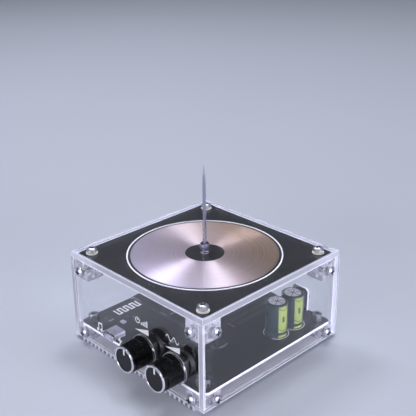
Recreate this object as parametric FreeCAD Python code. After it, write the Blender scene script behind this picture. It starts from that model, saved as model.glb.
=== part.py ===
import FreeCAD, Part
import math
import os

V = FreeCAD.Vector

# Desktop plasma-discharge coil in a clear acrylic box. Millimetres, +Z up.
# The origin is the middle of the plane the fins stand on; the knobs face -Y.

# ---- driving dimensions ----
BOX = 110.0             # outer width and depth of the box
SHEET = 3.0             # acrylic sheet
FIN_DEPTH = 1.9         # fins under the base plate
BASE_PLATE = 0.8        # aluminium plate under the panels
TOP_SURFACE = 57.0      # upper face of the top panel
TOP_INSET = 0.5         # the top panel stops this far inside the box sides
BOARD_GAP = 0.3         # between a board's edge and the panels
BOARD = 1.6             # circuit board thickness
TRACE = 0.2             # copper on the coil board

BLOCK = 11.0            # side of a corner block
UPPER_BLOCK_HIGH = 10.8
LOWER_BLOCK_HIGH = 7.1
SCREW_IN = 9.0          # screw axes, from the box's outer faces
THREAD_R = 1.45         # M3 shank
TAPPED_R = 1.5          # hole it screws into
CLEAR_R = 1.65          # hole it passes through
PAN_HEAD_R = 3.0
PAN_HEAD_HIGH = 2.1
SIDE_SCREW_LONG = 6.8
TOP_SCREW_LONG = 10.6

KNOB_Z = 18.4
POWER_X = 7.7
FREQUENCY_X = 32.3
KNOB_HOLE_R = 8.8
KNOB_FRONT_Y = -68.3
KNOB_REAR_Y = -52.6
SHAFT_R = 3.0
RUNNING = 0.05          # radial clearance of a turning shaft
FLAT_UP = 1.8           # height of the shaft's flat above its axis

POT_FRONT_Y = -51.2
POT_BACK_Y = -46.4
POT_CAN_Y = -43.6

SOCKET_X = -23.4
SOCKET_WIDE = 9.2
SOCKET_HIGH = 4.0
INLET_X = 29.5
INLET_Z = 19.4
INLET_BOARD_TOP = 26.0
CAPACITOR_HIGH = 21.0
CAPACITORS = {"front_capacitor": (38.0, 18.5), "rear_capacitor": (38.0, 32.5)}

SPIRAL_INNER_R = 11.4
SPIRAL_OUTER_R = 42.7
LOOP_INNER_R = 44.2
LOOP_OUTER_R = 45.0
NEEDLE_TIP_Z = 109.3

# ---- levels and faces worked out from them ----
HALF = BOX / 2
INNER = HALF - SHEET
PANEL_LOW = FIN_DEPTH + BASE_PLATE
PANEL_HIGH = TOP_SURFACE - SHEET
SCREW_AT = HALF - SCREW_IN
COIL_BOARD_HIGH = PANEL_HIGH - TRACE
COIL_BOARD_LOW = COIL_BOARD_HIGH - BOARD
UPPER_BLOCK_LOW = COIL_BOARD_LOW - UPPER_BLOCK_HIGH
UPPER_SCREW_Z = COIL_BOARD_LOW - UPPER_BLOCK_HIGH / 2
BOARD_LOW = PANEL_LOW + LOWER_BLOCK_HIGH
BOARD_HIGH = BOARD_LOW + BOARD
LOWER_SCREW_Z = PANEL_LOW + LOWER_BLOCK_HIGH / 2
SOCKET_Z = BOARD_HIGH + SOCKET_HIGH / 2
BOARD_HALF = INNER - BOARD_GAP
CORNERS = [(sx, sy) for sx in (-1, 1) for sy in (-1, 1)]


# ---- helpers ----
def box(x0, x1, y0, y1, z0, z1):
    return Part.makeBox(x1 - x0, y1 - y0, z1 - z0, V(x0, y0, z0))


def centred_box(cx, cy, cz, wide, deep, high):
    return box(cx - wide / 2, cx + wide / 2, cy - deep / 2, cy + deep / 2,
               cz - high / 2, cz + high / 2)


def rod(start, direction, radius, length):
    return Part.makeCylinder(radius, length, start, direction)


def ring(cx, cy, z, inner, outer, high):
    up = V(0, 0, 1)
    return rod(V(cx, cy, z), up, outer, high).cut(rod(V(cx, cy, z), up, inner, high))


def turned(profile):
    """Solid of revolution about Z from (radius, z) points."""
    points = [V(r, 0, z) for r, z in profile]
    face = Part.Face(Part.makePolygon(points + points[:1]))
    return face.revolve(V(0, 0, 0), V(0, 0, 1), 360)


def rounded_plate(half_x, half_y, z, high, corner):
    plate = box(-half_x, half_x, -half_y, half_y, z, z + high)
    uprights = [e for e in plate.Edges if abs(e.Vertexes[0].Z - e.Vertexes[1].Z) > high / 2]
    return plate.makeFillet(corner, uprights)


def slab(outline, axis, start, thick):
    """Flat plate from (a, b) points: axis 'y' gives an X-Z outline, 'z' an X-Y one."""
    if axis == "y":
        points = [V(a, start, b) for a, b in outline]
        along = V(0, thick, 0)
    else:
        points = [V(a, b, start) for a, b in outline]
        along = V(0, 0, thick)
    return Part.Face(Part.makePolygon(points + points[:1])).extrude(along)


def hexagon(corner_r):
    return [(corner_r * math.cos(k * math.pi / 3), corner_r * math.sin(k * math.pi / 3))
            for k in range(6)]


def aimed(shape, place, direction):
    """Copy of a shape made on +Z, moved so that its +Z points along direction at place."""
    copy = shape.copy()
    copy.Placement = FreeCAD.Placement(place, FreeCAD.Rotation(V(0, 0, 1), direction))
    return copy


def save(name, *solids):
    shape = solids[0] if len(solids) == 1 else Part.makeCompound(list(solids))
    assert shape.isValid(), name
    shape.exportStep("parts/" + name + ".step")


# ---- screws ----
def pan_head_screw(length):
    """Cross-recess pan head: seat at z = 0, head up, shank down."""
    dome_low = 1.2
    shoulder = V(PAN_HEAD_R, 0, dome_low)
    rim = Part.makeLine(V(0, 0, 0), V(PAN_HEAD_R, 0, 0))
    side = Part.makeLine(V(PAN_HEAD_R, 0, 0), shoulder)
    dome = Part.Arc(shoulder, V(PAN_HEAD_R * 0.75, 0, 1.8), V(0, 0, PAN_HEAD_HIGH)).toShape()
    axis = Part.makeLine(V(0, 0, PAN_HEAD_HIGH), V(0, 0, 0))
    head = Part.Face(Part.Wire([rim, side, dome, axis])).revolve(V(0, 0, 0), V(0, 0, 1), 360)
    recess_deep = 1.2
    for wide, deep in ((3.6, 0.85), (0.85, 3.6)):
        head = head.cut(centred_box(0, 0, PAN_HEAD_HIGH, wide, deep, 2 * recess_deep))
    head = head.cut(Part.makeCone(0.3, 1.1, 1.4, V(0, 0, PAN_HEAD_HIGH - 1.3)))
    return head.fuse(rod(V(0, 0, -length), V(0, 0, 1), THREAD_R, length)).removeSplitter()


def low_head_screw(length):
    """Low cross-recess head: seat at z = 0, head up, shank down."""
    head_r = 2.75
    head_high = 1.4
    head = turned([(0, 0), (head_r, 0), (head_r, 1.0), (head_r - 0.4, head_high), (0, head_high)])
    for wide, deep in ((3.0, 0.7), (0.7, 3.0)):
        head = head.cut(centred_box(0, 0, head_high, wide, deep, 1.6))
    return head.fuse(rod(V(0, 0, -length), V(0, 0, 1), THREAD_R, length)).removeSplitter()


def hex_standoff(stud):
    """Tapped hex post: seat at z = 0, post up, stud down."""
    high = 4.8
    across_corners_r = 3.15
    post = slab(hexagon(across_corners_r), "z", 0, high)
    post = post.common(turned([(0, 0), (3.3, 0), (3.3, high - 0.25), (2.65, high), (0, high)]))
    post = post.cut(rod(V(0, 0, high - 4.0), V(0, 0, 1), 1.3, 4.0))
    return post.fuse(rod(V(0, 0, -stud), V(0, 0, 1), THREAD_R, stud)).removeSplitter()


# ---- base plate ----
def heat_sink_plate():
    fins = 27
    pitch = 3.65
    fin_half = 0.8
    tip_half = 0.6
    step = 0.5
    plate = box(-HALF, HALF, -HALF, HALF, FIN_DEPTH, PANEL_LOW)
    for k in range(fins):
        x = (k - (fins - 1) / 2) * pitch
        outline = [(x - tip_half, 0), (x + tip_half, 0), (x + fin_half, step),
                   (x + fin_half, FIN_DEPTH + 0.1), (x - fin_half, FIN_DEPTH + 0.1),
                   (x - fin_half, step)]
        plate = plate.fuse(slab(outline, "y", -HALF, BOX))
    plate = plate.removeSplitter()
    screw = low_head_screw(BASE_PLATE + 4.2)
    screws = []
    for sx, sy in CORNERS:
        x = sx * SCREW_AT
        y = sy * SCREW_AT
        plate = plate.cut(rod(V(x, y, -1), V(0, 0, 1), 3.6, FIN_DEPTH + 1))
        plate = plate.cut(rod(V(x, y, 0), V(0, 0, 1), CLEAR_R, 10))
        screws.append(aimed(screw, V(x, y, FIN_DEPTH), V(0, 0, -1)))
    save("heat_sink_plate", plate)
    save("base_screws", *screws)


# ---- acrylic panels ----
def side_screw_places():
    return [(side * SCREW_AT, z) for side in (-1, 1) for z in (LOWER_SCREW_Z, UPPER_SCREW_Z)]


def face_panel(y0):
    panel = box(-INNER, INNER, y0, y0 + SHEET, PANEL_LOW, PANEL_HIGH)
    for x, z in side_screw_places():
        panel = panel.cut(rod(V(x, y0, z), V(0, 1, 0), CLEAR_R, SHEET))
    return panel


def front_panel():
    panel = face_panel(-HALF)
    for x in (POWER_X, FREQUENCY_X):
        panel = panel.cut(rod(V(x, -HALF, KNOB_Z), V(0, 1, 0), KNOB_HOLE_R, SHEET))
    slot_wide = 10.0
    slot_high = 4.4
    slot = centred_box(SOCKET_X, -HALF + SHEET / 2, SOCKET_Z, slot_wide, SHEET, slot_high)
    corners = [e for e in slot.Edges if abs(e.Vertexes[0].Y - e.Vertexes[1].Y) > SHEET / 2]
    panel = panel.cut(slot.makeFillet(slot_high / 2 - 0.1, corners))
    save("front_panel", panel)


def rear_panel():
    panel = face_panel(HALF - SHEET)
    inlet_hole_r = 4.5
    save("rear_panel", panel.cut(rod(V(INLET_X, INNER, INLET_Z), V(0, 1, 0), inlet_hole_r, SHEET)))


def side_panel(name, x0):
    panel = box(x0, x0 + SHEET, -HALF, HALF, PANEL_LOW, PANEL_HIGH)
    for y, z in side_screw_places():
        panel = panel.cut(rod(V(x0, y, z), V(1, 0, 0), CLEAR_R, SHEET))
    save(name, panel)


def top_panel():
    half = HALF - TOP_INSET
    panel = box(-half, half, -half, half, PANEL_HIGH, TOP_SURFACE)
    for sx, sy in CORNERS:
        panel = panel.cut(rod(V(sx * SCREW_AT, sy * SCREW_AT, PANEL_HIGH), V(0, 0, 1), CLEAR_R, SHEET))
    save("top_panel", panel.cut(rod(V(0, 0, PANEL_HIGH), V(0, 0, 1), 2.1, SHEET)))


def corner_blocks(name, low, high):
    blocks = []
    drill = 9.5
    middle = (low + high) / 2
    for sx, sy in CORNERS:
        x = sx * (INNER - BLOCK / 2)
        y = sy * (INNER - BLOCK / 2)
        block = centred_box(x, y, middle, BLOCK, BLOCK, high - low)
        block = block.cut(rod(V(sx * INNER, sy * SCREW_AT, middle), V(-sx, 0, 0), TAPPED_R, drill))
        block = block.cut(rod(V(sx * SCREW_AT, sy * INNER, middle), V(0, -sy, 0), TAPPED_R, drill))
        block = block.cut(rod(V(sx * SCREW_AT, sy * SCREW_AT, low), V(0, 0, 1), TAPPED_R, high - low))
        blocks.append(block)
    save(name, *blocks)


def panel_screws():
    screw = pan_head_screw(SIDE_SCREW_LONG)
    faces = {"front": V(0, -1, 0), "rear": V(0, 1, 0), "left": V(-1, 0, 0), "right": V(1, 0, 0)}
    for face, out in faces.items():
        along = V(abs(out.y), abs(out.x), 0)
        placed = [aimed(screw, out * HALF + along * offset + V(0, 0, z), out)
                  for offset, z in side_screw_places()]
        save(face + "_panel_screws", *placed)
    top = pan_head_screw(TOP_SCREW_LONG)
    save("top_panel_screws", *[aimed(top, V(sx * SCREW_AT, sy * SCREW_AT, TOP_SURFACE), V(0, 0, 1))
                               for sx, sy in CORNERS])


# ---- coil under the top panel ----
def coil():
    board = rounded_plate(BOARD_HALF, BOARD_HALF, COIL_BOARD_LOW, BOARD, 1.5)
    for sx, sy in CORNERS:
        board = board.cut(rod(V(sx * SCREW_AT, sy * SCREW_AT, COIL_BOARD_LOW), V(0, 0, 1), CLEAR_R, BOARD))
    board = board.cut(rod(V(0, 0, COIL_BOARD_LOW), V(0, 0, 1), 2.05, BOARD))
    save("coil_board", board)
    save("spiral_winding", ring(0, 0, COIL_BOARD_HIGH, SPIRAL_INNER_R, SPIRAL_OUTER_R, TRACE))
    save("primary_loop", ring(0, 0, COIL_BOARD_HIGH, LOOP_INNER_R, LOOP_OUTER_R, TRACE))
    save("corner_pads", *[ring(sx * SCREW_AT, sy * SCREW_AT, COIL_BOARD_HIGH, 2.0, 3.5, TRACE)
                          for sx, sy in CORNERS])


def discharge_needle():
    needle_r = 1.1
    stud_low = 48.4
    flange_high = TOP_SURFACE + 1.0
    hub_high = 62.0
    hub = turned([(0, stud_low), (1.95, stud_low), (1.95, TOP_SURFACE), (3.35, TOP_SURFACE),
                  (3.35, flange_high - 0.2), (3.1, flange_high), (2.6, flange_high),
                  (2.6, hub_high - 0.4), (2.2, hub_high), (0, hub_high)])
    flutes = 14
    for k in range(flutes):
        turn = 2 * math.pi * k / flutes
        foot = V(2.75 * math.cos(turn), 2.75 * math.sin(turn), flange_high + 0.5)
        hub = hub.cut(rod(foot, V(0, 0, 1), 0.28, 2.7))
    seat_low = 55.0
    hub = hub.cut(rod(V(0, 0, seat_low), V(0, 0, 1), needle_r, hub_high))
    save("needle_hub", hub)
    save("needle", turned([(0, seat_low), (needle_r, seat_low), (needle_r, 66), (0.95, 98), (0.75, 103),
                           (0.12, NEEDLE_TIP_Z), (0, NEEDLE_TIP_Z)]))
    nut_high = 3.0
    nut = slab(hexagon(4.0), "z", COIL_BOARD_LOW - nut_high, nut_high)
    save("hub_nut", nut.cut(rod(V(0, 0, COIL_BOARD_LOW - nut_high), V(0, 0, 1), 2.0, nut_high)))


# ---- main board and what stands on it ----
def main_board():
    board = rounded_plate(BOARD_HALF, BOARD_HALF, BOARD_LOW, BOARD, 3.0)
    for sx, sy in CORNERS:
        board = board.cut(rod(V(sx * SCREW_AT, sy * SCREW_AT, BOARD_LOW), V(0, 0, 1), CLEAR_R, BOARD))
    save("main_board", board)
    standoff = hex_standoff(BOARD + 1.9)
    save("board_standoffs", *[aimed(standoff, V(sx * SCREW_AT, sy * SCREW_AT, BOARD_HIGH), V(0, 0, 1))
                              for sx, sy in CORNERS])


def power_stage():
    pad_high = 1.6
    places = [(-12, 16), (12, 16), (-12, -8), (12, -8)]
    pads = [box(x - 6, x + 6, y - 6, y + 6, PANEL_LOW, PANEL_LOW + pad_high) for x, y in places]
    save("thermal_pads", *pads)
    save("power_transistors", *[box(x - 5, x + 5, y - 4.6, y + 4.6, PANEL_LOW + pad_high, BOARD_LOW)
                                for x, y in places])


def capacitor(name, cx, cy):
    low = BOARD_HIGH
    high = low + CAPACITOR_HIGH
    can_r = 6.2
    sleeve = 0.3
    crimp = low + 2.6
    outline = [(can_r, low + 0.4), (can_r, crimp - 0.8), (can_r - 0.7, crimp), (can_r, crimp + 0.8),
               (can_r, high - 0.9), (can_r - 0.7, high - 0.15)]
    can = turned([(0, low), (5.9, low), (5.9, low + 0.4)] + outline + [(0, high - 0.15)])
    score_deep = 0.35
    for turn in (0, 60, 120):
        score = centred_box(0, 0, high - 0.15, 8.6, 0.45, 2 * score_deep)
        score.rotate(V(0, 0, 0), V(0, 0, 1), turn)
        can = can.cut(score)
    skin = turned(outline + [(can_r - 1.3, high - 0.15), (can_r - 1.3, high), (can_r - 0.55, high),
                             (can_r + sleeve, high - 0.8), (can_r + sleeve, crimp + 0.9),
                             (can_r - 0.7 + sleeve, crimp), (can_r + sleeve, crimp - 0.9),
                             (can_r + sleeve, low + 0.4)])
    for shape, node in ((can, name), (skin, name + "_sleeve")):
        shape.translate(V(cx, cy, 0))
        save(node, shape)


def cable_socket():
    front = -51.6
    back = -44.2
    wall = 0.3
    left = SOCKET_X - SOCKET_WIDE / 2
    right = SOCKET_X + SOCKET_WIDE / 2
    top = BOARD_HIGH + SOCKET_HIGH

    def pill(inset, y0, y1):
        body = box(left + inset, right - inset, y0, y1, BOARD_HIGH + inset, top - inset)
        along = [e for e in body.Edges if abs(e.Vertexes[0].Y - e.Vertexes[1].Y) > 0.5]
        return body.makeFillet(1.1 - inset, along)

    shell = pill(0, front, back).cut(pill(wall, front, back - wall))
    save("cable_socket_shell", shell.cut(centred_box(SOCKET_X, -48.2, top, 1.5, 0.9, 2 * wall)))
    insert = pill(wall, -47.4, back - wall)
    tongue = centred_box(SOCKET_X, -49.2, SOCKET_Z, 6.7, 3.8, 0.8)
    save("cable_socket_insert", insert.fuse(tongue).removeSplitter())


def power_inlet():
    plate_front = 50.0
    plate_back = 51.6
    left = INLET_X - 5.5
    right = INLET_X + 5.5
    top = INLET_BOARD_TOP
    chamfer = 1.6
    outline = [(left, BOARD_HIGH), (right, BOARD_HIGH), (right, top - chamfer), (right - chamfer, top),
               (left + chamfer, top), (left, top - chamfer)]
    plate = slab(outline, "y", plate_front, plate_back - plate_front)
    save("inlet_board", plate.cut(rod(V(INLET_X, plate_front, INLET_Z), V(0, 1, 0), 4.05, 5)))
    body = box(INLET_X - 4.5, INLET_X + 4.5, 39.6, plate_front, INLET_Z - 5.5, INLET_Z + 5.0)
    nose = rod(V(INLET_X, plate_front, INLET_Z), V(0, 1, 0), 4.0, 3.6)
    bore = rod(V(INLET_X, 44.0, INLET_Z), V(0, 1, 0), 3.2, 20)
    save("power_inlet", body.fuse(nose).removeSplitter().cut(bore))
    pin = rod(V(INLET_X, 44.0, INLET_Z), V(0, 1, 0), 1.0, 8.6)
    save("inlet_pin", pin)


def chips():
    logic = [(-41, -39, 4.0, 4.0), (-22, -8, 7.0, 7.0), (2, -30, 5.0, 4.0), (24, -14, 5.0, 6.2)]
    save("logic_chips", *[box(x - w / 2, x + w / 2, y - d / 2, y + d / 2, BOARD_HIGH, BOARD_HIGH + 0.9)
                          for x, y, w, d in logic])
    crystal = centred_box(-32.0, -35.3, BOARD_HIGH + 0.4, 3.2, 2.5, 0.8)
    save("radio_crystal", crystal)
    small = []
    for row in range(6):
        x = -35.0 + 2.6 * row
        small.append(centred_box(x, -29.4 + (row % 2) * 2.4, BOARD_HIGH + 0.3, 1.6, 0.8, 0.6))
        x = 12.0 + 2.4 * row
        small.append(centred_box(x, -27.0 + (row % 3) * 2.2, BOARD_HIGH + 0.3, 0.8, 1.6, 0.6))
        x = -38.0 + 2.2 * row
        small.append(centred_box(x, 42.0 - (row % 2) * 2.6, BOARD_HIGH + 0.35, 1.0, 2.0, 0.7))
    save("chip_resistors", *small)
    film_box = box(-34, -16, 8, 16, BOARD_HIGH, BOARD_HIGH + 13)
    save("film_capacitor", film_box.makeFillet(0.6, film_box.Edges))


def antenna():
    trace = 0.9
    high = 0.1
    x0 = -46.6
    x1 = -40.3
    y0 = -31.6
    pitch = 2.35
    bars = 8
    strip = box(x0, x1, y0, y0 + trace, BOARD_HIGH, BOARD_HIGH + high)
    for k in range(1, bars):
        y = y0 + k * pitch
        strip = strip.fuse(box(x0, x1, y, y + trace, BOARD_HIGH, BOARD_HIGH + high))
        side = x1 - trace if k % 2 else x0
        strip = strip.fuse(box(side, side + trace, y - pitch, y + trace, BOARD_HIGH, BOARD_HIGH + high))
    save("antenna_trace", strip.removeSplitter())


def choke():
    cx = -14.0
    cy = 32.0
    core = Part.makeTorus(6.0, 2.4, V(cx, cy, BOARD_HIGH + 3.4), V(0, 0, 1))
    save("choke_core", core)
    turns = []
    for k in range(14):
        turn = 2 * math.pi * (k + 0.5) / 16
        place = V(cx + 6.0 * math.cos(turn), cy + 6.0 * math.sin(turn), BOARD_HIGH + 3.4)
        turns.append(Part.makeTorus(2.9, 0.42, place, V(-math.sin(turn), math.cos(turn), 0)))
    save("choke_winding", *turns)


def lead(points, radius):
    """Round wire along straight runs joined by tangent arcs."""
    pieces = []
    here = points[0]
    for k in range(1, len(points) - 1):
        before = points[k] - points[k - 1]
        after = points[k + 1] - points[k]
        half_turn = before.getAngle(after) / 2
        cut = 0.45 * min(before.Length, after.Length)
        bend = cut / math.tan(half_turn)
        into = V(before).normalize()
        out = V(after).normalize()
        start = points[k] - into * cut
        end = points[k] + out * cut
        inward = (out - into).normalize()
        centre = points[k] + inward * (bend / math.cos(half_turn))
        middle = centre - inward * bend
        pieces.append(Part.LineSegment(here, start).toShape())
        pieces.append(Part.Arc(start, middle, end).toShape())
        here = end
    pieces.append(Part.LineSegment(here, points[-1]).toShape())
    path = Part.Wire(pieces)
    section = Part.Wire(Part.makeCircle(radius, points[0], points[1] - points[0]))
    return path.makePipeShell([section], True, False)


def coil_leads():
    leads = []
    for shift in (0.0, 5.0):
        foot = V(-34 + shift, 22 + shift, BOARD_HIGH)
        top = V(-31.5 + shift, 31.5 + shift, COIL_BOARD_LOW)
        leads.append(lead([foot, foot + V(0, 0, 12), top - V(0, 0, 12), top], 0.9))
    save("coil_leads", *leads)


def board_marks():
    high = 0.06
    reach = 6.7
    arcs = [ring(x, y, BOARD_HIGH, 7.1, 7.5, high).common(box(x - 9, x + 9, y - reach, y + reach, 0, 20))
            for x, y in CAPACITORS.values()]
    save("board_marks", *arcs)


# ---- controls ----
def knob(prefix, cx):
    """Ribbed knob, its bright ring, its pointer and its shaft, all turning about -Y."""
    long = KNOB_REAR_Y - KNOB_FRONT_Y
    base_r = 8.2
    front_r = 7.95
    ring_inner = 6.6
    ring_outer = front_r - 0.2
    ring_deep = 0.8
    face_in = 0.5
    groove_at = long - 3.3
    body = turned([(0, 0), (base_r - 0.4, 0), (base_r, 0.4), (base_r - 0.2, groove_at),
                   (front_r - 0.4, groove_at + 0.15), (front_r - 0.4, groove_at + 0.6),
                   (front_r, groove_at + 0.75), (front_r, long - ring_deep - 0.2),
                   (ring_outer, long - ring_deep), (ring_inner, long - ring_deep),
                   (ring_inner, long - face_in), (0, long - face_in)])
    ribs = 20
    for k in range(ribs):
        turn = 2 * math.pi * (k + 0.5) / ribs
        start = V((base_r + 0.35) * math.cos(turn), (base_r + 0.35) * math.sin(turn), 1.4)
        lean = V(-0.0155 * math.cos(turn), -0.0155 * math.sin(turn), 1)
        body = body.cut(rod(start, lean, 0.8, groove_at - 2.2))
    shaft_in = 11.5
    shaft_back = 6.0
    bore = rod(V(0, 0, 0), V(0, 0, 1), SHAFT_R + RUNNING, shaft_in + RUNNING)
    flat = box(-9, 9, FLAT_UP + RUNNING, 9, 1.0, 20)
    body = body.cut(bore.cut(flat))
    bright = turned([(ring_inner, long - ring_deep), (ring_outer, long - ring_deep),
                     (ring_outer, long - 0.3), (ring_outer - 0.3, long), (ring_inner + 0.2, long),
                     (ring_inner, long - 0.2)])
    pointer = centred_box(0, 4.6, long - face_in + 0.08, 1.0, 3.2, 0.16)
    shaft = rod(V(0, 0, -shaft_back), V(0, 0, 1), SHAFT_R, shaft_back + shaft_in)
    shaft = shaft.cut(box(-9, 9, FLAT_UP, 9, 1.0 - RUNNING, 20))
    outward = FreeCAD.Placement(V(cx, KNOB_REAR_Y, KNOB_Z), FreeCAD.Rotation(V(1, 0, 0), 90))
    named = {"_knob": body, "_knob_ring": bright, "_knob_pointer": pointer, "_pot_shaft": shaft}
    for suffix, shape in named.items():
        shape.Placement = outward
        save(prefix + suffix, shape)


def potentiometer(prefix, cx):
    half_wide = 4.9
    top = KNOB_Z + 5.1
    block = box(cx - half_wide, cx + half_wide, POT_FRONT_Y, POT_BACK_Y, BOARD_HIGH, top)
    nose = rod(V(cx, POT_FRONT_Y - 0.9, KNOB_Z), V(0, 1, 0), 3.9, 0.9)
    block = block.fuse(nose).removeSplitter()
    block = block.cut(rod(V(cx, POT_FRONT_Y - 2, KNOB_Z), V(0, 1, 0), SHAFT_R + RUNNING, 10))
    save(prefix + "_pot_body", block)
    can = rod(V(cx, POT_BACK_Y, KNOB_Z), V(0, 1, 0), 6.8, POT_CAN_Y - POT_BACK_Y)
    rim = [e for e in can.Edges if abs(e.BoundBox.YMin - POT_CAN_Y) < 1e-6]
    save(prefix + "_pot_can", can.makeFillet(0.6, rim))
    pins = [box(cx + k * 2.5 - 0.4, cx + k * 2.5 + 0.4, POT_CAN_Y, POT_CAN_Y + 0.5, BOARD_HIGH, KNOB_Z - 1.5)
            for k in (-1, 0, 1)]
    save(prefix + "_pot_pins", *pins)


# ---- white print on the front panel ----
INK = 0.1


def ink(outline):
    return slab(outline, "y", -HALF - INK, INK)


def ink_ring(cx, cz, inner, outer):
    start = V(cx, -HALF - INK, cz)
    return rod(start, V(0, 1, 0), outer, INK).cut(rod(start, V(0, 1, 0), inner, INK))


def wedge(cx):
    low = 29.9
    return ink([(cx - 5.6, low), (cx + 5.6, low), (cx + 5.6, low + 3.6)])


def power_symbol(cx, cz):
    loop = ink_ring(cx, cz, 1.35, 1.85)
    loop = loop.cut(box(cx - 0.75, cx + 0.75, -HALF - 1, -HALF + 1, cz, cz + 3))
    return [loop, box(cx - 0.25, cx + 0.25, -HALF - INK, -HALF, cz + 0.1, cz + 2.1)]


def rising_bars(cx, cz):
    return [box(cx + k * 1.5, cx + k * 1.5 + 0.8, -HALF - INK, -HALF, cz - 1.8, cz - 0.4 + k * 0.8)
            for k in range(4)]


def sine_wave(cx, cz):
    steps = 24
    wide = 10.0
    swing = 1.5
    half_line = 0.3
    centre = [(wide * (k / steps - 0.5), swing * math.sin(4 * math.pi * k / steps)) for k in range(steps + 1)]
    upper = [(cx + a, cz + b + half_line) for a, b in centre]
    lower = [(cx + a, cz + b - half_line) for a, b in reversed(centre)]
    return ink(upper + lower)


def music_note(cx, cz):
    heads = [rod(V(cx + dx, -HALF - INK, cz - 2.3 + dz), V(0, 1, 0), 1.0, INK)
             for dx, dz in ((-1.5, -0.2), (1.7, 0.2))]
    stems = [box(cx - 0.95, cx - 0.4, -HALF - INK, -HALF, cz - 2.5, cz + 2.2),
             box(cx + 2.15, cx + 2.7, -HALF - INK, -HALF, cz - 2.1, cz + 2.6)]
    beam = ink([(cx - 0.95, cz + 1.2), (cx + 2.7, cz + 1.7), (cx + 2.7, cz + 2.9), (cx - 0.95, cz + 2.4)])
    note = heads[0].fuse([heads[1], *stems, beam])
    return note.removeSplitter()


def bolt(cx, cz):
    return ink([(cx + 0.6, cz + 3.2), (cx - 1.9, cz - 0.4), (cx - 0.2, cz - 0.4), (cx - 0.8, cz - 3.2),
                (cx + 1.9, cz + 0.5), (cx + 0.2, cz + 0.5)])


def panel_print():
    label_z = 36.4
    marks = [wedge(POWER_X), wedge(FREQUENCY_X), sine_wave(FREQUENCY_X, label_z)]
    marks += power_symbol(POWER_X - 3.2, label_z - 0.1)
    marks += rising_bars(POWER_X - 0.4, label_z)
    marks.append(music_note(-30.9, 17.2))
    marks.append(bolt(-12.1, 15.7))
    save("front_panel_print", *marks)


def main():
    os.makedirs("parts", exist_ok=True)
    heat_sink_plate()
    front_panel()
    rear_panel()
    side_panel("left_panel", -HALF)
    side_panel("right_panel", INNER)
    top_panel()
    corner_blocks("upper_corner_blocks", UPPER_BLOCK_LOW, COIL_BOARD_LOW)
    corner_blocks("lower_corner_blocks", PANEL_LOW, BOARD_LOW)
    panel_screws()
    coil()
    discharge_needle()
    main_board()
    power_stage()
    for name, (x, y) in CAPACITORS.items():
        capacitor(name, x, y)
    cable_socket()
    power_inlet()
    chips()
    antenna()
    choke()
    coil_leads()
    board_marks()
    for prefix, x in (("power", POWER_X), ("frequency", FREQUENCY_X)):
        knob(prefix, x)
        potentiometer(prefix, x)
    panel_print()


main()
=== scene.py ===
import math

import bmesh
import bpy
from mathutils import Matrix, Vector


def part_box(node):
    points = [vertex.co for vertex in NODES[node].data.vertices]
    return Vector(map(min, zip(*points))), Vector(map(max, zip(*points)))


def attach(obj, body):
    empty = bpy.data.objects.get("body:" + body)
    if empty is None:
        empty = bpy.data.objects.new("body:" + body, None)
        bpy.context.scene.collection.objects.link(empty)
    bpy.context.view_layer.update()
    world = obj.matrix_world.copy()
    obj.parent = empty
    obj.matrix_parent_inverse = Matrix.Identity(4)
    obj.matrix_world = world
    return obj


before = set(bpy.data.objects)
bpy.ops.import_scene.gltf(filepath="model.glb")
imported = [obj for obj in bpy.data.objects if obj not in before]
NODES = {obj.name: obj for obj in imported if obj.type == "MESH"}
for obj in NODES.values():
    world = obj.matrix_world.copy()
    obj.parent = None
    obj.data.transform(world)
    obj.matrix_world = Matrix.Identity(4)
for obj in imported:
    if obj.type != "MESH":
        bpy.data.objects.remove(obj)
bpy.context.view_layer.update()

MM = 0.001
UP = Vector((0, 0, 1))


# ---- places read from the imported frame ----
def middle(name):
    low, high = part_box(name)
    return (low + high) / 2


def islands(name):
    """Boxes of a node's separate solids, corners that coincide counting as joined."""
    bm = bmesh.new()
    bm.from_mesh(NODES[name].data)
    bmesh.ops.remove_doubles(bm, verts=bm.verts, dist=1e-6)
    left = set(bm.verts)
    boxes = []
    while left:
        todo = [left.pop()]
        low, high = todo[0].co.copy(), todo[0].co.copy()
        while todo:
            corner = todo.pop()
            for axis in range(3):
                low[axis] = min(low[axis], corner.co[axis])
                high[axis] = max(high[axis], corner.co[axis])
            for edge in corner.link_edges:
                other = edge.other_vert(corner)
                if other in left:
                    left.remove(other)
                    todo.append(other)
        boxes.append((low, high))
    bm.free()
    return sorted(boxes, key=lambda b: tuple(round(v, 5) for v in b[0]))


BOARD_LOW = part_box("main_board")[0].z
BOARD_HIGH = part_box("main_board")[1].z
COIL_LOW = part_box("coil_board")[0].z

RIM = 0.6 * MM              # how far in from its outline a sheet's rim reaches
THREAD_PITCH = 0.5 * MM
LEAD_R = 0.9 * MM           # of the two leads that rise to the coil board
SHARP = math.radians(40)    # edges that turn more than this are broken
NOISE_SPAN = (0.3, 0.7)     # the part of a noise's range that a gloss spreads over
CAPACITORS = ("front_capacitor", "rear_capacitor")
BLOCKS = ("upper_corner_blocks", "lower_corner_blocks")


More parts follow.
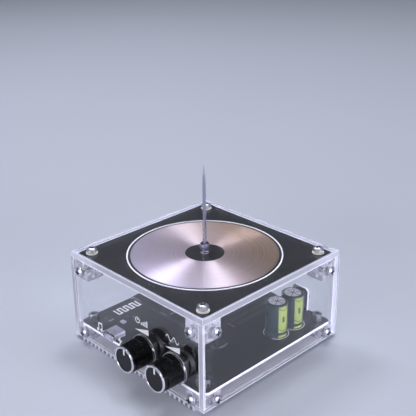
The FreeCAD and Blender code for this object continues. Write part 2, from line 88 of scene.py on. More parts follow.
# ---- node helpers ----
class Graph:
    """Short names for building one material's node tree."""

    def __init__(self, name):
        self.material = bpy.data.materials.new(name)
        self.material.use_nodes = True
        self.tree = self.material.node_tree
        self.shader = self.tree.nodes["Principled BSDF"]
        self.out = self.tree.nodes["Material Output"]

    def node(self, kind, **settings):
        made = self.tree.nodes.new(kind)
        for key, value in settings.items():
            setattr(made, key, value)
        return made

    def link(self, source, target):
        self.tree.links.new(source, target)

    def feed(self, target, value):
        if isinstance(value, bpy.types.NodeSocket):
            self.link(value, target)
        elif isinstance(value, tuple) and len(target.default_value) == 4:
            target.default_value = (*value, 1)
        else:
            target.default_value = value

    def math(self, operation, *values):
        made = self.node("ShaderNodeMath", operation=operation)
        for socket, value in zip(made.inputs, values):
            self.feed(socket, value)
        return made.outputs[0]

    def place(self):
        """Position in the shared frame: every piece's own origin is the frame's."""
        return self.node("ShaderNodeTexCoord").outputs["Object"]

    def split(self, vector):
        made = self.node("ShaderNodeSeparateXYZ")
        self.link(vector, made.inputs[0])
        return made.outputs

    def normal(self):
        return self.split(self.node("ShaderNodeNewGeometry").outputs["True Normal"])

    def noise(self, scale, detail=3.0, stretch=(1, 1, 1), roughness=0.5):
        mapping = self.node("ShaderNodeMapping")
        mapping.inputs["Scale"].default_value = stretch
        self.link(self.place(), mapping.inputs["Vector"])
        made = self.node("ShaderNodeTexNoise")
        self.link(mapping.outputs[0], made.inputs["Vector"])
        made.inputs["Scale"].default_value = scale
        made.inputs["Detail"].default_value = detail
        made.inputs["Roughness"].default_value = roughness
        return made.outputs[0]

    def span(self, value, low, high, to_low, to_high):
        made = self.node("ShaderNodeMapRange")
        self.feed(made.inputs[0], value)
        for socket, number in zip(list(made.inputs)[1:5], (low, high, to_low, to_high)):
            socket.default_value = number
        return made.outputs[0]

    def gloss(self, grain, low, high):
        """Roughness that runs from low to high with a noise."""
        return self.span(grain, *NOISE_SPAN, low, high)

    def radius(self):
        """Distance from the part's upright axis."""
        x, y, _z = self.split(self.place())
        return self.math("SQRT", self.math("ADD", self.math("MULTIPLY", x, x), self.math("MULTIPLY", y, y)))

    def facing_away(self, axis, limit):
        """1 on faces that don't face along an axis, 0 on those that do."""
        return self.math("LESS_THAN", self.math("ABSOLUTE", self.normal()[axis]), limit)

    def mix(self, factor, a, b):
        made = self.node("ShaderNodeMix", data_type="RGBA")
        self.feed(made.inputs[0], factor)
        self.feed(made.inputs[6], a)
        self.feed(made.inputs[7], b)
        return made.outputs[2]

    def bump(self, height, strength, distance):
        made = self.node("ShaderNodeBump")
        made.inputs["Strength"].default_value = strength
        made.inputs["Distance"].default_value = distance
        self.link(height, made.inputs["Height"])
        self.link(made.outputs[0], self.shader.inputs["Normal"])

    def set(self, **values):
        for key, value in values.items():
            self.feed(self.shader.inputs[key.replace("_", " ").title().replace("Ior", "IOR")], value)


# ---- materials ----
def clear_to_lamps(g, tint):
    """Lets lamp light through the sheet, so what stands behind it is lit."""
    rays = g.node("ShaderNodeLightPath")
    clear = g.node("ShaderNodeBsdfTransparent")
    clear.inputs[0].default_value = (*tint, 1)
    blend = g.node("ShaderNodeMixShader")
    g.link(rays.outputs["Is Shadow Ray"], blend.inputs[0])
    g.link(g.shader.outputs[0], blend.inputs[1])
    g.link(clear.outputs[0], blend.inputs[2])
    g.link(blend.outputs[0], g.out.inputs[0])


def near_rim(g, name, sheet_axis):
    """1 along a sheet's outer rim, 0 elsewhere, so the holes cut in it stay quiet."""
    low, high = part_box(name)
    centre, half = (low + high) / 2, (high - low) / 2
    place = g.split(g.place())
    rim = 0.0
    for axis in range(3):
        if axis != sheet_axis:
            away = g.math("ABSOLUTE", g.math("SUBTRACT", place[axis], centre[axis]))
            rim = g.math("MAXIMUM", rim, g.math("GREATER_THAN", away, half[axis] - RIM))
    return rim


def clear_acrylic(name, sheet_axis=None):
    """Clear cast sheet; its cut edges, the faces that don't face sheet_axis, are frosted and pale."""
    g = Graph("acrylic_" + name)
    polish = g.span(g.noise(60, 4), 0.35, 0.75, 0.006, 0.02)
    if sheet_axis is None:
        g.set(transmission_weight=0.84, ior=1.49, base_color=(0.94, 0.94, 1.0), roughness=polish)
    else:
        edge = g.math("MULTIPLY", g.facing_away(sheet_axis, 0.6), near_rim(g, name, sheet_axis))
        frost = g.gloss(g.noise(900, 2, stretch=(1, 1, 0.15)), 0.10, 0.20)
        g.set(ior=1.49, base_color=g.mix(edge, (0.985, 0.985, 1.0), (0.86, 0.86, 1.0)),
              transmission_weight=g.span(edge, 0, 1, 1.0, 0.48),
              roughness=g.math("ADD", polish, g.math("MULTIPLY", edge, frost)))
    clear_to_lamps(g, (0.94, 0.94, 0.97))
    return g.material


def edge_glow(name, sheet_axis=None):
    """The narrow broken edge of a sheet, where light carried inside the acrylic comes out."""
    g = Graph("edge_" + name)
    pale = g.mix(g.noise(300, 3), (0.88, 0.88, 1.0), (0.98, 0.98, 1.0))
    rim = 0.8 if sheet_axis is None else near_rim(g, name, sheet_axis)
    g.set(base_color=pale, transmission_weight=g.span(rim, 0, 1, 0.5, 0.12), ior=1.49,
          roughness=g.gloss(g.noise(900, 2), 0.16, 0.28))
    return g.material


def metal(name, colour, low, high, scale=400, stretch=(1, 1, 1), bump=0.15, metallic=1.0):
    """Metal whose gloss runs from low to high roughness, with fine tool or grain marks."""
    g = Graph(name)
    grain = g.noise(scale, 5, stretch, 0.6)
    shade = tuple(c * 0.86 for c in colour)
    g.set(metallic=metallic, base_color=g.mix(g.noise(55, 3), shade, colour),
          roughness=g.gloss(grain, low, high))
    g.bump(grain, bump, 0.04 * MM)
    return g.material


def threaded_nickel(name, axis, surface, inward):
    """Nickel-plated screw: bright head, and thread ridges on the shank inside the surface, bumped and also
    painted in darker bands as painted shade.
    """
    g = Graph(name)
    along = g.split(g.place())[axis]
    depth = g.math("MULTIPLY", g.math("SUBTRACT", along, surface), inward)
    ridge = g.math("ABSOLUTE", g.math("SINE", g.math("MULTIPLY", depth, math.pi / THREAD_PITCH)))
    thread_relief_and_shade = g.math("MULTIPLY", ridge, g.math("GREATER_THAN", depth, 0.0))
    tone = g.mix(g.noise(90, 3), (0.60, 0.60, 0.70), (0.74, 0.74, 0.82))
    # The thread bands darken the base colour towards grey: painted shade of the thread grooves.
    g.set(metallic=0.9, base_color=g.mix(g.math("MULTIPLY", thread_relief_and_shade, 0.35), tone, (0.30, 0.30, 0.36)),
          roughness=g.gloss(g.noise(350, 4), 0.26, 0.36))
    g.bump(thread_relief_and_shade, 0.9, 0.25 * MM)
    return g.material


def moulded(name, colour, low, high, scale=700, bump=0.2, shine=0.5):
    """Moulded plastic with a fine surface."""
    g = Graph(name)
    grain = g.noise(scale, 4)
    lighter = tuple(min(1, c * 1.35 + 0.002) for c in colour)
    g.set(base_color=g.mix(g.noise(45, 3), colour, lighter), roughness=g.gloss(grain, low, high),
          specular_ior_level=shine)
    g.bump(grain, bump, 0.03 * MM)
    return g.material


def circuit_board(name, dark, light, bare_radius=0.0):
    """Dark solder mask on both faces, pale glass fibre on the cut edge, a blacker bare middle."""
    g = Graph(name)
    edge = g.facing_away(2, 0.5)
    bare = g.math("LESS_THAN", g.radius(), bare_radius)
    mask = g.mix(bare, g.mix(g.noise(25, 4), dark, light), (0.003, 0.003, 0.0035))
    fibre = g.mix(g.noise(500, 3, stretch=(1, 1, 0.1)), (0.60, 0.59, 0.72), (0.90, 0.89, 1.0))
    g.set(base_color=g.mix(edge, mask, fibre), specular_ior_level=0.4,
          roughness=g.math("ADD", g.gloss(g.noise(300, 4), 0.34, 0.42), g.math("MULTIPLY", edge, 0.3)))
    g.bump(g.noise(1400, 3), 0.12, 0.03 * MM)
    return g.material


def upright_board(name):
    """The upright inlet board: dark faces front and back, pale cut edges."""
    g = Graph(name)
    edge = g.facing_away(1, 0.5)
    mask = g.mix(g.noise(40, 3), (0.010, 0.010, 0.012), (0.016, 0.016, 0.019))
    g.set(base_color=g.mix(edge, mask, (0.82, 0.81, 0.95)), roughness=g.gloss(g.noise(300, 4), 0.34, 0.46))
    return g.material


def spun_copper(name):
    """Fine concentric copper turns, their base colour painted paler towards the front as a painted highlight,
    with highlights across the grain.
    """
    g = Graph(name)
    x, y, _z = g.split(g.place())
    rings = g.node("ShaderNodeTexNoise", noise_dimensions="1D")
    g.link(g.math("MULTIPLY", g.radius(), 1 / MM), rings.inputs["W"])
    rings.inputs["Scale"].default_value = 0.8
    rings.inputs["Detail"].default_value = 7
    # pale is a lavender-white tone painted towards the front, a painted highlight; bronze is the copper's own
    # tone towards the rear.
    pale = g.mix(rings.outputs[0], (0.60, 0.52, 0.60), (0.72, 0.66, 0.80))
    bronze = g.mix(rings.outputs[0], (0.28, 0.19, 0.14), (0.54, 0.40, 0.32))
    away_from_painted_highlight = g.span(g.math("ADD", y, g.math("MULTIPLY", x, 0.35)), -36 * MM, 30 * MM, 0, 1)
    g.set(metallic=0.8, base_color=g.mix(away_from_painted_highlight, pale, bronze),
          roughness=g.gloss(rings.outputs[0], 0.36, 0.46))
    g.shader.inputs["Anisotropic"].default_value = 0.9
    g.shader.inputs["Anisotropic Rotation"].default_value = 0.25
    tangent = g.node("ShaderNodeTangent", direction_type="RADIAL", axis="Z")
    g.link(tangent.outputs[0], g.shader.inputs["Tangent"])
    return g.material


def capacitor_sleeve(name, centre):
    """Dark shrink sleeve with one pale green stripe that carries a dash and two slanted lines."""
    g = Graph(name)
    x, y, z = g.split(g.place())
    stripe_turn = math.radians(-12)
    stripe_half = math.radians(27)
    half_high = 10.5 * MM
    turn = g.math("ARCTAN2", g.math("SUBTRACT", y, centre.y), g.math("SUBTRACT", x, centre.x))
    across = g.math("DIVIDE", g.math("ABSOLUTE", g.math("SUBTRACT", turn, stripe_turn)), stripe_half)
    up = g.math("DIVIDE", g.math("SUBTRACT", z, centre.z), half_high)
    stripe = g.math("MULTIPLY", g.math("LESS_THAN", across, 1.0), g.facing_away(2, 0.6))
    marks = g.math("MULTIPLY", g.math("LESS_THAN", across, 0.24),
                   g.math("LESS_THAN", g.math("ABSOLUTE", g.math("SUBTRACT", up, 0.14)), 0.17))
    arrow = g.math("SUBTRACT", up, g.math("MULTIPLY", across, 0.17))
    for level in (0.68, -0.58):
        line = g.math("LESS_THAN", g.math("ABSOLUTE", g.math("SUBTRACT", arrow, level)), 0.022)
        marks = g.math("MAXIMUM", marks, line)
    base = g.mix(g.noise(80, 3), (0.010, 0.022, 0.030), (0.017, 0.036, 0.046))
    green = g.mix(g.noise(120, 3), (0.22, 0.28, 0.06), (0.32, 0.38, 0.10))
    green = g.mix(marks, green, (0.010, 0.022, 0.022))
    g.set(base_color=g.mix(stripe, base, green), roughness=g.gloss(g.noise(200, 4), 0.26, 0.36),
          coat_weight=0.3, coat_roughness=0.15)
    g.bump(g.noise(160, 3), 0.1, 0.1 * MM)
    return g.material


def ink(name):
    g = Graph(name)
    g.set(base_color=g.mix(g.noise(700, 3), (0.80, 0.80, 0.84), (0.93, 0.93, 0.96)),
          roughness=g.gloss(g.noise(900, 2), 0.45, 0.6))
    return g.material


def floor_paint(name):
    g = Graph(name)
    g.set(base_color=g.mix(g.noise(3, 4), (0.56, 0.58, 0.66), (0.60, 0.62, 0.70)), roughness=0.6)
    return g.material


# ---- CAD nodes: finish and broken edges ----
def dress(material, *names):
    for name in names:
        mesh = NODES[name].data
        mesh.materials.clear()
        mesh.materials.append(material)


def bevel(piece, width):
    broken = piece.modifiers.new("broken_edges", "BEVEL")
    broken.width = width
    broken.segments = 2
    broken.limit_method = "ANGLE"
    broken.angle_limit = SHARP
    return broken


def soften(name, width, rim):
    """Breaks a CAD node's sharp edges and gives the new faces the rim material."""
    piece = NODES[name]
    weld = piece.modifiers.new("weld", "WELD")
    weld.merge_threshold = 0.001 * MM
    broken = bevel(piece, width)
    broken.harden_normals = True
    broken.material = len(piece.data.materials)
    piece.data.materials.append(rim)


def dress_acrylic():
    panel_break = 0.22 * MM
    block_break = 0.2 * MM
    sheets = {"front_panel": 1, "rear_panel": 1, "left_panel": 0, "right_panel": 0, "top_panel": 2}
    for name, axis in sheets.items():
        dress(clear_acrylic(name, axis), name)
        soften(name, panel_break, edge_glow(name, axis))
    block = clear_acrylic("block")
    glow = edge_glow("block")
    for name in BLOCKS:
        dress(block, name)
        soften(name, block_break, glow)
    for name in (*sheets, *BLOCKS):
        hair = NODES[name].modifiers.new("assembly_gap", "DISPLACE")
        hair.strength = -0.02 * MM
        hair.mid_level = 0


def darken_below_top(name, axis, out, within, deeper_than, material):
    """Paints shade on the faces sunk into the top of each of a node's solids, near the solid's axis: a darker
    material that stands in for the shade in recesses and scored grooves.
    """
    deepest = 1.6 * MM
    mesh = NODES[name].data
    mesh.materials.append(material)
    centres = [(low + high) / 2 for low, high in islands(name)]
    top = max(v.co[axis] * out for v in mesh.vertices)
    for face in mesh.polygons:
        off_axis = []
        for centre in centres:
            away = face.center - centre
            away[axis] = 0
            off_axis.append(away.length)
        if min(off_axis) < within and deeper_than < top - face.center[axis] * out < deepest:
            face.material_index = 1


def dress_screws():
    recess_reach = 1.95 * MM
    recess_top = 0.35 * MM
    recess = metal("recess_shade", (0.16, 0.16, 0.21), 0.4, 0.55, metallic=0.6)
    faces = {"front": (1, "front_panel", 0, 1), "rear": (1, "rear_panel", 1, -1),
             "left": (0, "left_panel", 0, 1), "right": (0, "right_panel", 1, -1)}
    for face, (axis, panel, side, inward) in faces.items():
        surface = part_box(panel)[side][axis]
        dress(threaded_nickel("nickel_" + face, axis, surface, inward), face + "_panel_screws")
        darken_below_top(face + "_panel_screws", axis, -inward, recess_reach, recess_top, recess)
    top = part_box("top_panel")[1].z
    dress(threaded_nickel("nickel_top", 2, top, -1), "top_panel_screws")
    darken_below_top("top_panel_screws", 2, 1, recess_reach, recess_top, recess)
    dress(threaded_nickel("nickel_base", 2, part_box("heat_sink_plate")[1].z, 1), "base_screws")
    dress(metal("standoff_nickel", (0.42, 0.42, 0.48), 0.24, 0.36), "board_standoffs")
    dress(metal("nickel", (0.78, 0.78, 0.84), 0.16, 0.28), "hub_nut", "inlet_pin")
    dress(metal("hub_nickel", (0.52, 0.52, 0.70), 0.18, 0.28), "needle_hub")
    dress(metal("needle_steel", (0.42, 0.42, 0.54), 0.18, 0.30, 900, (1, 1, 0.05)), "needle")
    dress(metal("shaft_steel", (0.70, 0.70, 0.74), 0.2, 0.3), "power_pot_shaft", "frequency_pot_shaft")


def dress_electronics():
    score_reach = 4.5 * MM
    score_top = 0.1 * MM
    dress(metal("heat_sink_aluminium", (0.90, 0.90, 1.0), 0.34, 0.5, 900, (1, 0.03, 1), metallic=0.3),
          "heat_sink_plate")
    dress(metal("can_aluminium", (0.95, 0.95, 1.0), 0.26, 0.36, bump=0.03, metallic=0.1), *CAPACITORS)
    score = metal("score_shade", (0.20, 0.20, 0.25), 0.4, 0.5, metallic=0.4)
    for name in CAPACITORS:
        darken_below_top(name, 2, 1, score_reach, score_top, score)
    dress(metal("socket_steel", (0.60, 0.60, 0.74), 0.26, 0.38, 900, (1, 0.1, 1), metallic=0.45),
          "cable_socket_shell", "radio_crystal")
    dress(metal("tinned_loop", (0.90, 0.90, 0.94), 0.4, 0.55, metallic=0.25), "primary_loop", "antenna_trace")
    dress(metal("tinned_track", (0.80, 0.80, 0.82), 0.2, 0.34), "power_pot_pins", "frequency_pot_pins")
    dress(metal("gold_pad", (0.82, 0.76, 0.64), 0.3, 0.45, metallic=0.15), "corner_pads")
    dress(spun_copper("spun_copper"), "spiral_winding")
    dress(metal("enamelled_wire", (0.62, 0.26, 0.10), 0.2, 0.32), "choke_winding")
    dress(circuit_board("board_mask", (0.0065, 0.0065, 0.0075), (0.012, 0.012, 0.0135)), "main_board")
    dress(circuit_board("coil_mask", (0.0050, 0.0050, 0.0062), (0.009, 0.009, 0.0108), 11.2 * MM),
          "coil_board")
    dress(upright_board("inlet_board_mask"), "inlet_board")
    dress(moulded("chip_epoxy", (0.016, 0.016, 0.018), 0.42, 0.58), "logic_chips", "power_transistors")
    dress(moulded("pot_plastic", (0.02, 0.02, 0.022), 0.36, 0.5), "power_pot_body", "frequency_pot_body",
          "power_pot_can", "frequency_pot_can")
    dress(moulded("socket_plastic", (0.008, 0.008, 0.009), 0.3, 0.45), "cable_socket_insert", "power_inlet")
    dress(moulded("knob_plastic", (0.0028, 0.0028, 0.0034), 0.15, 0.21, 500, 0.04, 0.28),
          "power_knob", "frequency_knob")
    dress(metal("bright_ring", (0.88, 0.88, 0.95), 0.17, 0.26, metallic=0.8),
          "power_knob_ring", "frequency_knob_ring")
    dress(moulded("grey_film_case", (0.20, 0.22, 0.26), 0.3, 0.42), "film_capacitor")
    dress(moulded("ferrite", (0.03, 0.05, 0.05), 0.4, 0.6), "choke_core")
    dress(moulded("silicone_lead", (0.02, 0.02, 0.022), 0.4, 0.55), "coil_leads")
    dress(moulded("thermal_pad", (0.35, 0.38, 0.42), 0.6, 0.75), "thermal_pads")
    dress(moulded("chip_ceramic", (0.022, 0.022, 0.025), 0.4, 0.6), "chip_resistors")
    dress(ink("white_ink"), "front_panel_print", "power_knob_pointer", "frequency_knob_pointer",
          "board_marks")
    for name in CAPACITORS:
        dress(capacitor_sleeve("sleeve_of_" + name, middle(name)), name + "_sleeve")


# ---- small parts that the CAD leaves out ----
def add_piece(name, bm, material, broken=0.0):
    bmesh.ops.recalc_face_normals(bm, faces=bm.faces)
    mesh = bpy.data.meshes.new(name)
    bm.to_mesh(mesh)
    bm.free()
    mesh.materials.append(material)
    piece = bpy.data.objects.new(name, mesh)
    bpy.context.collection.objects.link(piece)
    if broken:
        bevel(piece, broken)
    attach(piece, "root")


def prism(bm, outline, along):
    """Solid from a closed outline of points carried by a vector."""
    start = [bm.verts.new(p) for p in outline]
    end = [bm.verts.new(p + along) for p in outline]
    bm.faces.new(start)
    bm.faces.new(end)
    for k in range(len(outline)):
        n = (k + 1) % len(outline)
        bm.faces.new((start[k], start[n], end[n], end[k]))


def lathe(bm, centre, up, profile, segments=16):
    """Solid of revolution from (radius, height) points that start and end on the axis."""
    side = up.orthogonal().normalized()
    across = up.cross(side)
    rings = []
    for radius, height in profile:
        base = centre + up * height
        if radius == 0:
            rings.append([bm.verts.new(base)] * segments)
            continue
        rings.append([bm.verts.new(base + (side * math.cos(t) + across * math.sin(t)) * radius)
                      for t in (2 * math.pi * k / segments for k in range(segments))])
    for one, two in zip(rings, rings[1:]):
        for k in range(segments):
            n = (k + 1) % segments
            corners = []
            for vert in (one[k], one[n], two[n], two[k]):
                if vert not in corners:
                    corners.append(vert)
            bm.faces.new(corners)


def ribbon(bm, path, half_wide, lift, high):
    """Flat mitred track along (x, y) points at height lift."""
    lefts, rights = [], []
    for k, point in enumerate(path):
        before = (point - path[k - 1]).normalized() if k else None
        after = (path[k + 1] - point).normalized() if k + 1 < len(path) else None
        ahead = ((before or after) + (after or before)).normalized()
        reach = half_wide / max(0.5, ahead.dot(after or before))
        side = Vector((-ahead.y, ahead.x)) * reach
        lefts.append(point + side)
        rights.append(point - side)
    outline = [Vector((p.x, p.y, lift)) for p in lefts + rights[::-1]]
    count = len(path)
    low = [bm.verts.new(p) for p in outline]
    top = [bm.verts.new(p + Vector((0, 0, high))) for p in outline]
    for k in range(count - 1):
        far = 2 * count - 1 - k
        for ring in (low, top):
            bm.faces.new((ring[k], ring[k + 1], ring[far - 1], ring[far]))
    for k in range(2 * count):
        n = (k + 1) % (2 * count)
        bm.faces.new((low[k], low[n], top[n], top[k]))


def flat(x, y):
    return Vector((x, y)) * MM


def bus(lines, pitch, start, end, bend):
    """Parallel tracks that leave start along Y, cross at 45 degrees near bend and arrive along Y."""
    made = []
    for k in range(lines):
        shift = (k - (lines - 1) / 2) * pitch
        x0, y0 = start[0] + shift, start[1]
        x1, y1 = end[0] + shift, end[1]
        run = abs(x1 - x0)
        turn = bend + shift * (1 if x1 < x0 else -1) * 0.8
        step = run if y1 > y0 else -run
        made.append([flat(x0, y0), flat(x0, turn), flat(x1, turn + step), flat(x1, y1)])
    return made


def board_tracks():
    paths = bus(5, 1.1, (-23.4, -43.4), (-22.0, -12.6), -28.0)
    paths += bus(4, 1.0, (1.6, -42.0), (2.0, -33.2), -38.0)
    paths += bus(4, 1.2, (24.0, -42.0), (24.0, -18.4), -34.0)
    paths += bus(5, 1.1, (-22.0, -3.6), (-28.0, 7.0), -1.5)
    paths += bus(4, 1.4, (24.0, -10.0), (14.0, 6.0), -8.5)
    paths.append([flat(-40.7, -31.2), flat(-36.2, -35.3), flat(-33.8, -35.3)])
    tracks, vias = bmesh.new(), bmesh.new()
    for path in paths:
        ribbon(tracks, path, 0.2 * MM, BOARD_HIGH, 0.03 * MM)
        for end in (path[0], path[-1]):
            spot = Vector((end.x, end.y, BOARD_HIGH))
            lathe(vias, spot, UP, [(0, 0.01 * MM), (0.14 * MM, 0.01 * MM), (0.17 * MM, 0.05 * MM),
                                   (0.33 * MM, 0.05 * MM), (0.36 * MM, 0), (0, 0)], 14)
    power = bmesh.new()
    for x, y0, y1 in ((6.0, 12.0, 44.0), (16.0, 8.0, 44.0)):
        ribbon(power, [flat(x, y0), flat(x, y1 - 4), flat(x + 6, y1)], 1.6 * MM, BOARD_HIGH, 0.03 * MM)
    mask = moulded("track_mask", (0.017, 0.017, 0.020), 0.3, 0.4, 900, 0.05)
    add_piece("board_tracks", tracks, mask)
    add_piece("board_power_tracks", power, mask)
    add_piece("board_vias", vias, metal("via_tin", (0.55, 0.55, 0.60), 0.25, 0.4))


def chip_leads(tin):
    """Gull-wing leads on two sides of every logic chip."""
    bm = bmesh.new()
    thick, half_wide, pitch = 0.12 * MM, 0.15 * MM, 0.65 * MM
    reach = ((0, 0.5), (0.35, 0.5), (0.55, 0.09), (1.0, 0.09))
    for low, high in islands("logic_chips"):
        count = int((high.y - low.y - 0.6 * MM) / pitch) + 1
        for side, edge in ((-1, low.x), (1, high.x)):
            for k in range(count):
                y = (low.y + high.y) / 2 + (k - (count - 1) / 2) * pitch - half_wide
                line = [Vector((edge + side * out * MM, y, low.z + rise * MM)) for out, rise in reach]
                outline = line + [p + UP * thick for p in reversed(line)]
                prism(bm, outline, Vector((0, 2 * half_wide, 0)))
    add_piece("chip_leads", bm, tin, 0.02 * MM)


def chip_marks():
    """A round pin-one dimple ring and a thin outline by every logic chip."""
    bm = bmesh.new()
    for low, high in islands("logic_chips"):
        spot = Vector((low.x + 0.8 * MM, low.y + 0.8 * MM, high.z))
        lathe(bm, spot, UP, [(0, 0.005 * MM), (0.22 * MM, 0.005 * MM), (0.24 * MM, 0.02 * MM),
                             (0.32 * MM, 0.02 * MM), (0.34 * MM, 0), (0, 0)], 16)
        for y in (low.y - 0.45 * MM, high.y + 0.45 * MM):
            ribbon(bm, [Vector((low.x, y)), Vector((high.x, y))], 0.08 * MM, BOARD_HIGH, 0.02 * MM)
    for node in ("film_capacitor", "choke_core"):
        low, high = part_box(node)
        gap = 0.8 * MM
        x0, x1, y0, y1 = low.x - gap, high.x + gap, low.y - gap, high.y + gap
        corners = [Vector(c) for c in ((x0, y0), (x1, y0), (x1, y1), (x0, y1))]
        for one, two in zip(corners, corners[1:] + corners[:1]):
            ribbon(bm, [one, two], 0.1 * MM, BOARD_HIGH, 0.02 * MM)
    add_piece("board_outlines", bm, moulded("outline_ink", (0.16, 0.16, 0.18), 0.5, 0.6))


def resistor_ends(tin):
    """Tinned caps on both ends of every small chip part."""
    bm = bmesh.new()
    skin = 0.03 * MM
    for low, high in islands("chip_resistors"):
        long = 0 if high.x - low.x > high.y - low.y else 1
        cap = 0.25 * (high[long] - low[long])
        for side in (0, 1):
            a, b = low - Vector((skin,) * 3), high + Vector((skin,) * 3)
            a.z = low.z
            if side:
                a[long] = high[long] - cap
            else:
                b[long] = low[long] + cap
            outline = [Vector((a.x, a.y, a.z)), Vector((b.x, a.y, a.z)), Vector((b.x, b.y, a.z)),
                       Vector((a.x, b.y, a.z))]
            prism(bm, outline, Vector((0, 0, b.z - a.z)))
    add_piece("resistor_ends", bm, tin, 0.05 * MM)


def joint_places():
    """Where leads pass through the main board, as (x, y, pad radius)."""
    spots = []
    for name in CAPACITORS:
        c = middle(name)
        spots += [(c.x, c.y - 2.5 * MM, 1.1), (c.x, c.y + 2.5 * MM, 1.1)]
    for prefix in ("power", "frequency"):
        spots += [((low.x + high.x) / 2, high.y - 0.25 * MM, 0.8)
                  for low, high in islands(prefix + "_pot_pins")]
    low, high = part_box("cable_socket_shell")
    spots += [(x, y, 0.9) for x in (low.x + 0.8 * MM, high.x - 0.8 * MM)
              for y in (low.y + 2 * MM, high.y - 1 * MM)]
    low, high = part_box("film_capacitor")
    spots += [(x, (low.y + high.y) / 2, 1.0) for x in (low.x + 1.5 * MM, high.x - 1.5 * MM)]
    c = middle("choke_core")
    spots += [(c.x + 8.6 * MM, c.y - 1.6 * MM, 1.0), (c.x + 8.6 * MM, c.y + 1.6 * MM, 1.0)]
    spots += [(low.x + LEAD_R, low.y + LEAD_R, 1.3) for low, _high in islands("coil_leads")]
    c = middle("inlet_board")
    spots += [(c.x + dx * MM, c.y, 0.8) for dx in (-3.5, 0, 3.5)]
    return spots


def solder_joints():
    bm = bmesh.new()
    down = Vector((0, 0, -1))
    for x, y, pad in joint_places():
        size = pad * MM
        lathe(bm, Vector((x, y, BOARD_LOW)), down,
              [(0, 0), (size, 0), (0.74 * size, 0.18 * MM), (0.52 * size, 0.5 * MM), (0.42 * size, 0.85 * MM),
               (0.36 * size, 0.9 * MM), (0.34 * size, 1.25 * MM), (0.26 * size, 1.35 * MM), (0, 1.38 * MM)])
    for low, high in islands("coil_leads"):
        foot = Vector((low.x + LEAD_R, low.y + LEAD_R, BOARD_HIGH))
        head = Vector((high.x - LEAD_R, high.y - LEAD_R, COIL_LOW))
        for spot, way in ((foot, UP), (head, down)):
            lathe(bm, spot, way, [(0, 0), (1.9 * MM, 0), (1.5 * MM, 0.25 * MM), (1.15 * MM, 0.7 * MM),
                                  (1.0 * MM, 1.1 * MM), (0, 1.1 * MM)])
    add_piece("solder_joints", bm, metal("solder", (0.66, 0.66, 0.70), 0.2, 0.36, 250))


def transistor_legs(tin):
    """Three legs bent up from every transistor into the board above."""
    bm = bmesh.new()
    pitch, half_wide, half = 2.54, 0.4, 0.25 * MM
    for low, high in islands("power_transistors"):
        mid = (low.z + high.z) / 2
        for k in (-1, 0, 1):
            x = (low.x + high.x) / 2 + (pitch * k - half_wide) * MM
            near, far = high.y, high.y + 3.0 * MM
            outline = [Vector((x, near, mid - half)), Vector((x, far, mid - half)),
                       Vector((x, far + 2 * half, mid + half)), Vector((x, far + 2 * half, BOARD_LOW)),
                       Vector((x, far, BOARD_LOW)), Vector((x, far, mid + 1.6 * half)),
                       Vector((x, far - half, mid + half)), Vector((x, near, mid + half))]
            prism(bm, outline, Vector((2 * half_wide * MM, 0, 0)))
    add_piece("transistor_legs", bm, tin, 0.05 * MM)


def coil_tracks():
    """The broad tracks under the coil board, from its two leads to the spiral and to the hub."""
    bm = bmesh.new()
    high = 0.04 * MM
    for k, (_low, top) in enumerate(islands("coil_leads")):
        start = Vector((top.x - LEAD_R, top.y - LEAD_R))
        end = Vector((-3.2 * MM, 3.2 * MM)) if k else Vector((-31.0 * MM, 31.2 * MM))
        elbow = Vector((start.x, end.y + (end.x - start.x) * -0.2))
        ribbon(bm, [start, elbow, end], 0.9 * MM, COIL_LOW - high, high)
    add_piece("coil_board_tracks", bm, moulded("coil_track_mask", (0.018, 0.018, 0.02), 0.3, 0.42))


def add_details():
    tin = metal("leg_tin", (0.36, 0.36, 0.40), 0.3, 0.44)
    board_tracks()
    chip_leads(tin)
    chip_marks()
    resistor_ends(metal("dull_tin", (0.22, 0.22, 0.25), 0.4, 0.55))
    solder_joints()
    transistor_legs(tin)
    coil_tracks()


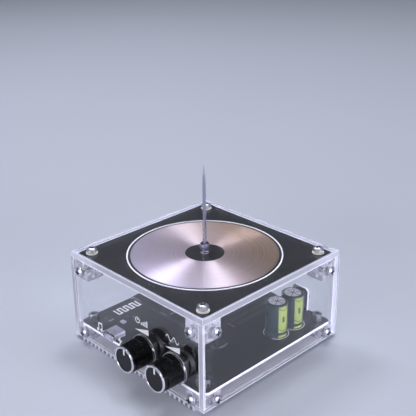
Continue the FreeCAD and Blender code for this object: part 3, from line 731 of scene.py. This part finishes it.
# ---- camera, light and floor ----
def point_camera():
    """The photograph's viewing angle."""
    target = Vector((1.44, 1.48, 83.5)) * MM
    azimuth = math.radians(45.77)
    elevation = math.radians(23.13)
    roll = math.radians(-0.48)
    distance = 449.2 * MM
    back = Vector((math.sin(azimuth) * math.cos(elevation), -math.cos(azimuth) * math.cos(elevation),
                   math.sin(elevation)))
    data = bpy.data.cameras.new("camera")
    data.lens = 69.2
    data.sensor_width = 36
    data.clip_start = 0.01
    data.clip_end = 50
    camera = bpy.data.objects.new("camera", data)
    bpy.context.collection.objects.link(camera)
    turn = (-back).to_track_quat("-Z", "Y").to_matrix().to_4x4()
    camera.matrix_world = Matrix.Translation(target + back * distance) @ turn @ Matrix.Rotation(roll, 4, "Z")
    bpy.context.scene.camera = camera


def softbox(name, place, size, power, colour):
    data = bpy.data.lights.new(name, "AREA")
    data.shape = "RECTANGLE"
    data.size, data.size_y = size
    data.energy = power
    data.color = colour
    lamp = bpy.data.objects.new(name, data)
    bpy.context.collection.objects.link(lamp)
    lamp.location = place
    lamp.rotation_mode = "QUATERNION"
    lamp.rotation_quaternion = (Vector((0, 0, 0.04)) - Vector(place)).to_track_quat("-Z", "Y")


def studio():
    world = bpy.data.worlds.new("studio")
    bpy.context.scene.world = world
    world.use_nodes = True
    sky = world.node_tree.nodes["Background"]
    sky.inputs[0].default_value = (0.62, 0.66, 0.80, 1)
    sky.inputs[1].default_value = 0.075
    softbox("overhead", (0.1, 0.4, 2.2), (2.4, 2.4), 13, (0.93, 0.94, 1.0))
    softbox("key", (-0.87, 0.14, 1.18), (0.4, 0.4), 6.5, (0.88, 0.91, 1.0))
    softbox("front", (0.1, -1.15, 0.30), (0.8, 0.4), 8, (0.94, 0.95, 1.0))
    softbox("side", (1.1, 0.15, 0.24), (0.6, 0.3), 8, (0.92, 0.93, 1.0))
    softbox("back", (-0.28, 0.56, 1.4), (0.3, 0.3), 6, (0.86, 0.93, 1.0))
    bpy.ops.mesh.primitive_plane_add(size=12)
    floor = bpy.context.object
    floor.name = "floor"
    floor.data.materials.append(floor_paint("floor_paint"))
    bpy.context.scene.view_settings.view_transform = "Standard"


point_camera()
studio()
dress_acrylic()
dress_screws()
dress_electronics()
add_details()
